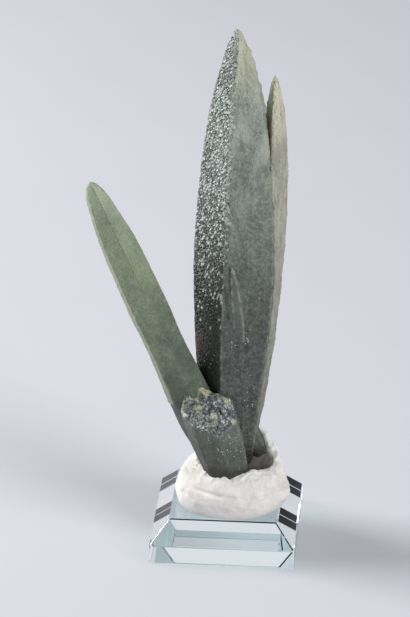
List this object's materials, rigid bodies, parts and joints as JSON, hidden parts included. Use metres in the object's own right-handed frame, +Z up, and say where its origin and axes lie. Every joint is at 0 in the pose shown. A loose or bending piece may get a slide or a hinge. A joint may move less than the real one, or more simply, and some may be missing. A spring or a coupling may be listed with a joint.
{
  "type": "prase quartz crystal cluster on a glass display base",
  "caption": "Upright cluster of slender green quartz crystals, held by off-white putty on a square bevelled clear glass display base.",
  "frame": {"origin": "centre of the flat underside of the glass base", "axes": "+Z up along the tall crystals; X and Y along the edges of the square base, its front facing -Y and the leaning crystal towards -X"},
  "size_m": [0.0579, 0.04, 0.15],
  "materials": {
    "prase": "satin to sugary green quartz, paler at the tips",
    "putty": "matte hand-shaped putty",
    "glass": "polished clear glass, faintly aqua"
  },
  "bodies": {
    "root": {"prase_cluster": "prase", "putty": "putty", "glass_base": "glass"}
  },
  "joints": []
}
